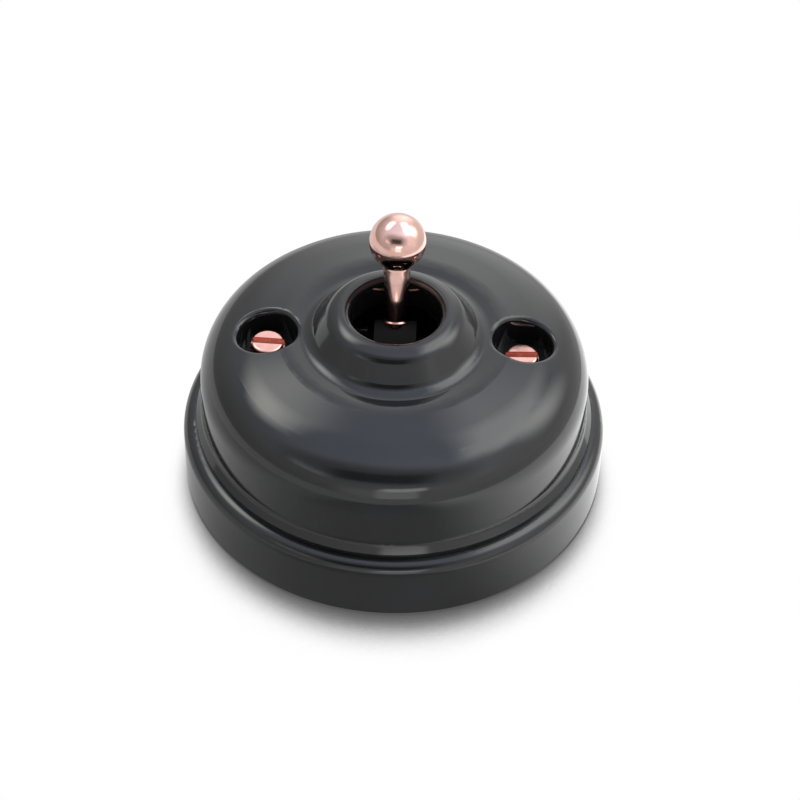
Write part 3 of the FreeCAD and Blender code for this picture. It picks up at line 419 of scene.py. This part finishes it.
def finish_material(name, tones, roughness, metallic, cloud, bump, ior=None, specular=None):
    """Principled material: colour and roughness follow a slow mask, height follows a group.

    Bump holds the group, its output, its inputs, the strength and the height in metres.
    """
    material = bpy.data.materials.new(name)
    material.use_nodes = True
    tree = material.node_tree
    shader = tree.nodes["Principled BSDF"]
    shader.inputs["Metallic"].default_value = metallic
    if ior is not None:
        shader.inputs["IOR"].default_value = ior
    if specular is not None:
        shader.inputs["Specular IOR Level"].default_value = specular
    mask = place_group(material, clouds, **cloud).outputs["Mask"]
    tree.links.new(two_tone(material, mask, *tones), shader.inputs["Base Color"])
    tree.links.new(two_level(material, mask, *roughness), shader.inputs["Roughness"])
    group, label, values, strength, distance = bump
    height = tree.nodes.new("ShaderNodeBump")
    height.inputs["Strength"].default_value = strength
    height.inputs["Distance"].default_value = distance
    tree.links.new(place_group(material, group, **values).outputs[label], height.inputs["Height"])
    tree.links.new(height.outputs["Normal"], shader.inputs["Normal"])
    return material


# %% [markdown]
# The glaze is a layer of black glass over the clay. It reflects a few hundredths of what is in
# front of it, its own colour is almost nothing, and its thickness wanders slowly, so long
# reflections wave a little. Under the base the glaze stops: the kiln shelf would stick to it,
# so the foot stays bare, pale clay.

# %% Glaze and bare clay
GLAZE_TONES = ((0.0060, 0.0062, 0.0067), (0.0085, 0.0089, 0.0098))
GLASS_IOR = 1.5
CLAY_TONES = ((0.62, 0.58, 0.52), (0.47, 0.43, 0.37))
CLAY_ROUGHNESS = (0.65, 0.85)
CLAY_GRAIN = {"Scale": 700.0, "From": 0.3, "To": 0.7}
# The foot is bare up to GLAZE_END of FOOT_HIGH. From there the glaze closes over it.
FOOT_HIGH, GLAZE_END = 0.3 * MM, 0.7
glaze = finish_material(
    "black_glaze", GLAZE_TONES, (0.035, 0.085), 0.0, {"Scale": 55.0, "From": 0.35, "To": 0.65},
    bump=(waves, "Height", {"Scale": 42.0}, 0.35, 0.6 * MM), ior=GLASS_IOR)
foot_glaze = glaze.copy()
foot_glaze.name = "black_glaze_bare_foot"


def bare_below(material, height, tones, roughness):
    """Bare clay with its grain where the piece lies below a height, and the glaze above it."""
    tree = material.node_tree
    shader = tree.nodes["Principled BSDF"]
    axes = axes_of(tree, tree.nodes.new("ShaderNodeTexCoord").outputs["Object"])
    is_clay = ranged(tree, axes["Z"], height * GLAZE_END, height, 1.0, 0.0, soft=False)
    grain = place_group(material, clouds, **CLAY_GRAIN).outputs["Mask"]
    clay = {"Base Color": two_tone(material, grain, *tones),
            "Roughness": two_level(material, grain, *roughness)}
    for label, value in clay.items():
        mix = tree.nodes.new("ShaderNodeMix")
        mix.data_type = "RGBA" if label == "Base Color" else "FLOAT"
        tree.links.new(value, mix.inputs["B"])
        tree.links.new(shader.inputs[label].links[0].from_socket, mix.inputs["A"])
        tree.links.new(is_clay, mix.inputs["Factor"])
        tree.links.new(mix.outputs["Result"], shader.inputs[label])


bare_below(foot_glaze, FOOT_HIGH, CLAY_TONES, CLAY_ROUGHNESS)

# %% [markdown]
# The metals. Copper plating on the lever and the cover screws is rosy and slightly satin, with
# faint tarnish clouds, and the screws are redder and more worn. The lamps further down are
# strong, for the sake of the glaze, so the copper is set a little darker than the real metal.
# Inside are brass contacts with silver faces, zinc-plated screws, and a black moulded housing
# that is matt and keeps the well dark.

# %% Metals and moulding
SCRATCH_DEEP, GRAIN_DEEP = 0.02 * MM, 0.03 * MM


def scratched(scale, strength):
    """Relief of fine scratches, which are closer together with a larger scale."""
    return scratches, "Mask", {"Scale": scale}, strength, SCRATCH_DEEP


copper = finish_material(
    "copper", ((0.72, 0.455, 0.395), (0.64, 0.395, 0.34)), (0.10, 0.14), 1.0,
    {"Scale": 260.0, "From": 0.42, "To": 0.68},
    bump=scratched(2600.0, 0.08))
screw_copper = finish_material(
    "screw_copper", ((0.70, 0.40, 0.345), (0.60, 0.32, 0.27)), (0.16, 0.26), 1.0,
    {"Scale": 420.0, "From": 0.4, "To": 0.7},
    bump=scratched(2000.0, 0.15))
brass = finish_material(
    "brass", ((0.62, 0.43, 0.17), (0.52, 0.35, 0.13)), (0.25, 0.38), 1.0,
    {"Scale": 300.0}, bump=scratched(2200.0, 0.15))
silver = finish_material(
    "silver", ((0.82, 0.81, 0.78), (0.72, 0.70, 0.66)), (0.18, 0.32), 1.0,
    {"Scale": 500.0}, bump=scratched(3000.0, 0.1))
steel = finish_material(
    "steel", ((0.58, 0.58, 0.57), (0.50, 0.50, 0.49)), (0.26, 0.40), 1.0,
    {"Scale": 400.0}, bump=scratched(2400.0, 0.15))
moulding = finish_material(
    "black_moulding", ((0.004, 0.004, 0.004), (0.006, 0.0058, 0.0055)), (0.6, 0.75), 0.0,
    {"Scale": 200.0},
    bump=(clouds, "Mask", {"Scale": 3500.0, "From": 0.3, "To": 0.7}, 0.2, GRAIN_DEEP),
    specular=0.06)

FINISHES = {"black_glaze": glaze, "copper": copper, "brass": brass, "silver": silver,
            "steel": steel, "black_moulding": moulding}
slots = {row["node"]: row["material_slot"] for row in frame["record"]["subparts"]}
for node_name, node in nodes.items():
    node.data.materials.clear()
    node.data.materials.append(FINISHES[slots[node_name]])
nodes["porcelain_base"].data.materials[0] = foot_glaze
for piece, material in [(lever_copper, copper), (spring_wire, steel),
                        (screws[0], screw_copper), (screws[1], screw_copper)]:
    piece.data.materials.append(material)
print("finishes:", {name: sum(1 for s in slots.values() if s == name) for name in FINISHES})

# %% [markdown]
# The studio. Black glass shows little of its own, so the picture is made by what stands round
# it. Three soft boxes light the dome, one from behind left and two from the right. A window
# with its glow stands on the viewer's side, with a small lamp to its left and one to its right,
# and a bright wall closes the back. Each panel is a plane that glows, aimed at the switch, with
# an edge that fades out as cloth does. The camera doesn't see the panels themselves.

# %% Panels of light
CENTRE = Vector((0, 0, 20 * MM))


def towards(azimuth, elevation):
    """Direction from the switch: azimuth 0 is away from the viewer, 90 is to the right."""
    a, e = math.radians(azimuth), math.radians(elevation)
    return Vector((math.sin(a) * math.cos(e), math.cos(a) * math.cos(e), math.sin(e)))


def blank_material(name):
    """Material with nothing but its output: the material, its node tree and the output node."""
    material = bpy.data.materials.new(name)
    material.use_nodes = True
    material.node_tree.nodes.clear()
    return material, material.node_tree, material.node_tree.nodes.new("ShaderNodeOutputMaterial")


def math_of(tree, operation, *values):
    """Result of one Math node on one or two sockets."""
    node = tree.nodes.new("ShaderNodeMath")
    node.operation = operation
    for value, socket in zip(values, node.inputs):
        tree.links.new(value, socket)
    return node.outputs[0]


def mixed_shader(tree, share, first, second):
    """First shader where the share is 0, and the second where it is 1."""
    blend = tree.nodes.new("ShaderNodeMixShader")
    for value, socket in zip((share, first, second), blend.inputs):
        tree.links.new(value, socket)
    return blend.outputs["Shader"]


def panel(name, azimuth, elevation, wide, high, strength, edge=0.25, tint=(1, 1, 1), away=1.0):
    """Glowing rectangle, away metres from the switch.

    Wide and high are in degrees as seen from the switch. The glow fades over the outer part,
    edge, of its half width and half height.
    """
    half_w = away * math.tan(math.radians(wide / 2))
    half_h = away * math.tan(math.radians(high / 2))
    mesh = bpy.data.meshes.new(name)
    corners = [(-1, -1), (1, -1), (1, 1), (-1, 1)]
    mesh.from_pydata([(x * half_w, y * half_h, 0) for x, y in corners], [], [(0, 1, 2, 3)])
    spans = [span for corner in corners for span in corner]
    mesh.uv_layers.new(name="span").data.foreach_set("uv", spans)
    made = bpy.data.objects.new(name, mesh)
    bpy.context.scene.collection.objects.link(made)
    made.rotation_mode = "QUATERNION"
    made.location = CENTRE + towards(azimuth, elevation) * away
    made.rotation_quaternion = towards(azimuth, elevation).to_track_quat("Z", "Y")
    made.visible_camera = False
    material, tree, out = blank_material(name)
    axes = axes_of(tree, tree.nodes.new("ShaderNodeUVMap").outputs["UV"])
    fades = [ranged(tree, math_of(tree, "ABSOLUTE", axes[axis]), 1.0 - edge, 1.0, 1.0, 0.0)
             for axis in ("X", "Y")]
    glow = tree.nodes.new("ShaderNodeEmission")
    glow.inputs["Color"].default_value = (*tint, 1)
    glow.inputs["Strength"].default_value = strength
    clear = tree.nodes.new("ShaderNodeBsdfTransparent")
    shader = mixed_shader(tree, math_of(tree, "MULTIPLY", *fades), clear.outputs["BSDF"],
                          glow.outputs["Emission"])
    tree.links.new(shader, out.inputs["Surface"])
    mesh.materials.append(material)
    return made


lights = [
    panel("soft_box_left", -47.5, 54.5, 50, 28, 5.6, edge=0.98, tint=(1.0, 0.99, 0.94)),
    panel("soft_box_right", 74, 41, 49, 61, 4.8, edge=0.98, tint=(0.99, 1.0, 0.97)),
    panel("soft_box_top_right", 67.5, 60.5, 68, 33, 4.0, edge=0.7, tint=(0.97, 1.0, 1.01), away=1.15),
    panel("window", 177, 8, 26, 26, 2.0, edge=0.35),
    panel("window_glow", 194, 8, 36, 26, 1.2, edge=0.8, away=1.1),
    panel("window_top", 173, 18.5, 27, 8, 3.8, edge=0.4, away=0.9),
    panel("small_lamp_left", -134, 31, 30, 17, 3.6, edge=0.85),
    panel("small_lamp_right", 127, 21, 20, 20, 1.4, edge=0.8),
    panel("far_wall", 8, 22, 61, 75, 2.0, edge=0.98, away=1.4),
]
print("lights:", [light.name for light in lights])

# %% [markdown]
# Two cards hang over the camera's side. The wide one is grey and keeps the front of the dome
# deep. The small one is nearly black and makes the dark eye that polished copper shows.

# %% The cards at the camera
cards = [panel("grey_card", 192, 47, 112, 60, 0.48, edge=0.8, away=0.6),
         panel("black_card", 186, 42, 58, 27, 0.08, edge=0.6, away=0.5)]
print("cards:", [card.name for card in cards])

# %% [markdown]
# A glowing ring lies flat on the table round the foot, and only reflections see it: it is a
# painted reflection, not a lamp, and it lights nothing and casts no shadow. The upright walls
# mirror the table, so the ring is grey in front, a painted dark reflection where the walls have
# to stay black, and white at the right, a painted bright reflection that gives the walls their bright edge. Its
# glow is a sum of soft ranges, each along one axis.

# %% The painted reflections on the table
RING_IN, RING_OUT, RING_Z = 35.3 * MM, 110 * MM, 0.1 * MM
# Each range: axis, where it starts and ends, and the glow at its start and end.
PAINTED_REFLECTION_GLOW = [("X", 12 * MM, 50 * MM, 0.42, 1.75), ("X", -52 * MM, -24 * MM, 0.30, 0.0),
              ("Y", 0.0, 40 * MM, 0.0, 0.25)]


def summed_ranges(tree, axes, ranges):
    """Sum of soft ranges: each goes from least to most between low and high on its axis."""
    total = None
    for axis, low, high, least, most in ranges:
        level = ranged(tree, axes[axis], low, high, least, most)
        total = level if total is None else math_of(tree, "ADD", total, level)
    return total


def flat_ring(name, inner, outer, height, around=192):
    """Level ring round the upright axis: two circles of points joined by one band of faces."""
    angles = np.linspace(0, 2 * math.pi, around, endpoint=False)
    points = np.concatenate([
        np.column_stack([radius * np.cos(angles), radius * np.sin(angles), np.full(around, height)])
        for radius in (outer, inner)])
    made = mesh_object(name, points, grid_faces(2, around, False, True))
    return made


painted_reflection_ring = flat_ring("painted_table_reflection", RING_IN, RING_OUT, RING_Z)
# Painted reflection: the ring is seen only in reflections, and lights nothing and casts no shadow.
for sight in ("visible_camera", "visible_diffuse", "visible_shadow", "visible_transmission"):
    setattr(painted_reflection_ring, sight, False)
painted_reflection_material, tree, out = blank_material("painted_table_reflection")
axes = axes_of(tree, tree.nodes.new("ShaderNodeTexCoord").outputs["Object"])
# This glow paints grey and white reflections into the walls. It is not light from any lamp.
glow = tree.nodes.new("ShaderNodeEmission")
tree.links.new(summed_ranges(tree, axes, PAINTED_REFLECTION_GLOW), glow.inputs["Strength"])
tree.links.new(glow.outputs["Emission"], out.inputs["Surface"])
painted_reflection_ring.data.materials.append(painted_reflection_material)

# %% [markdown]
# The room is the world. It is pale, brighter towards the right and overhead, slightly dimmer
# behind the switch, and a little blue overhead. Its light depends on the direction only.

# %% The room
# Each range: axis, where it starts and ends, and the brightness at its start and end.
ROOM_GLOW = [("X", -1.0, 1.2, 0.62, 1.20), ("Y", -0.44, 0.34, 0.0, -0.14), ("Z", 0.04, 0.98, 0.0, 0.53)]
BLUE_FROM, BLUE_FULL = 0.3, 0.95
WARM_WHITE, BLUE_WHITE = (1.0, 0.99, 0.98, 1), (0.90, 0.98, 1.16, 1)
world = bpy.data.worlds.new("room")
bpy.context.scene.world = world
world.use_nodes = True
room = world.node_tree
backdrop = room.nodes["Background"]
axes = axes_of(room, room.nodes.new("ShaderNodeTexCoord").outputs["Generated"])
room.links.new(summed_ranges(room, axes, ROOM_GLOW), backdrop.inputs["Strength"])
hue = room.nodes.new("ShaderNodeMix")
hue.data_type = "RGBA"
hue.inputs["A"].default_value = WARM_WHITE
hue.inputs["B"].default_value = BLUE_WHITE
room.links.new(ranged(room, axes["Z"], BLUE_FROM, BLUE_FULL), hue.inputs["Factor"])
room.links.new(hue.outputs["Result"], backdrop.inputs["Color"])

# %% [markdown]
# The floor is white paper with a hole where the switch stands, so the foot's underside can be
# looked at from below. To camera, metal and glaze it glows at strength 1, which is white, and
# darkens only where the switch is close. The closeness is measured round a direction that
# leans away from the viewer, so the shadow falls forwards, as in the photograph. Light that
# lands on the floor meets plain pale paper.

# %% The floor
FOOT_R, FLOOR_R = 34.4 * MM, 4.0
LEAN, SHADE_REACH, SHADE_SAMPLES = math.radians(35), 20 * MM, 24
PAPER_TONE = (0.8, 0.8, 0.8, 1)
# Openness over the paper, and how bright the paper is there.
SHADE_STEPS = [(0.30, 0.10), (0.42, 0.17), (0.47, 0.27), (0.52, 0.42), (0.56, 0.60), (0.60, 0.80),
               (0.63, 0.93), (0.655, 0.985), (0.69, 1.0)]
floor = flat_ring("floor", FOOT_R, FLOOR_R, 0.0)
paper, tree, out = blank_material("white_paper")
near = tree.nodes.new("ShaderNodeAmbientOcclusion")
near.samples = SHADE_SAMPLES
near.inputs["Distance"].default_value = SHADE_REACH
leaning = tree.nodes.new("ShaderNodeCombineXYZ")
leaning.inputs["Y"].default_value = math.sin(LEAN)
leaning.inputs["Z"].default_value = math.cos(LEAN)
tree.links.new(leaning.outputs["Vector"], near.inputs["Normal"])
shade = tree.nodes.new("ShaderNodeValToRGB")
ramp = shade.color_ramp
for element, (position, grey) in zip(ramp.elements, (SHADE_STEPS[0], SHADE_STEPS[-1])):
    element.position = position
    element.color = (grey, grey, grey, 1)
for position, grey in SHADE_STEPS[1:-1]:
    ramp.elements.new(position).color = (grey, grey, grey, 1)
tree.links.new(near.outputs["AO"], shade.inputs["Fac"])
glow = tree.nodes.new("ShaderNodeEmission")
tree.links.new(shade.outputs["Color"], glow.inputs["Color"])
matt = tree.nodes.new("ShaderNodeBsdfDiffuse")
matt.inputs["Color"].default_value = PAPER_TONE
ray = tree.nodes.new("ShaderNodeLightPath")
seen = ray.outputs["Is Camera Ray"]
for label in ("Is Glossy Ray", "Is Transmission Ray"):
    seen = math_of(tree, "MAXIMUM", seen, ray.outputs[label])
shader = mixed_shader(tree, seen, matt.outputs["BSDF"], glow.outputs["Emission"])
tree.links.new(shader, out.inputs["Surface"])
floor.data.materials.append(paper)

# %% [markdown]
# The camera looks down at about 45 degrees from close by, so the near rim of the base is a
# little wider than the far one. Its distance, lens and tiny shift were fitted to the outline
# of the switch in the photograph.

# %% The camera
AZIMUTH, ELEVATION, DISTANCE, ROLL = 178.6, 44.84, 0.42, 0.96
AIM = Vector((0, 0, 12.25 * MM))
# Sensor and lens are in millimetres, and the shift is a share of the picture's width.
SENSOR, LENS, NEAREST = 36.0, 113.62, 0.01
SHIFT_X, SHIFT_Y = 0.0076, 0.00879
camera_data = bpy.data.cameras.new("camera")
camera_data.sensor_width = SENSOR
camera_data.lens = LENS
camera_data.shift_x = SHIFT_X
camera_data.shift_y = SHIFT_Y
camera_data.clip_start = NEAREST
camera = bpy.data.objects.new("camera", camera_data)
bpy.context.scene.collection.objects.link(camera)
camera.location = AIM + towards(AZIMUTH, ELEVATION) * DISTANCE
camera.rotation_mode = "QUATERNION"
camera.rotation_quaternion = ((AIM - camera.location).to_track_quat("-Z", "Y")
                              @ Quaternion((0, 0, 1), math.radians(ROLL)))
bpy.context.scene.camera = camera
bpy.context.scene.view_settings.view_transform = "Standard"
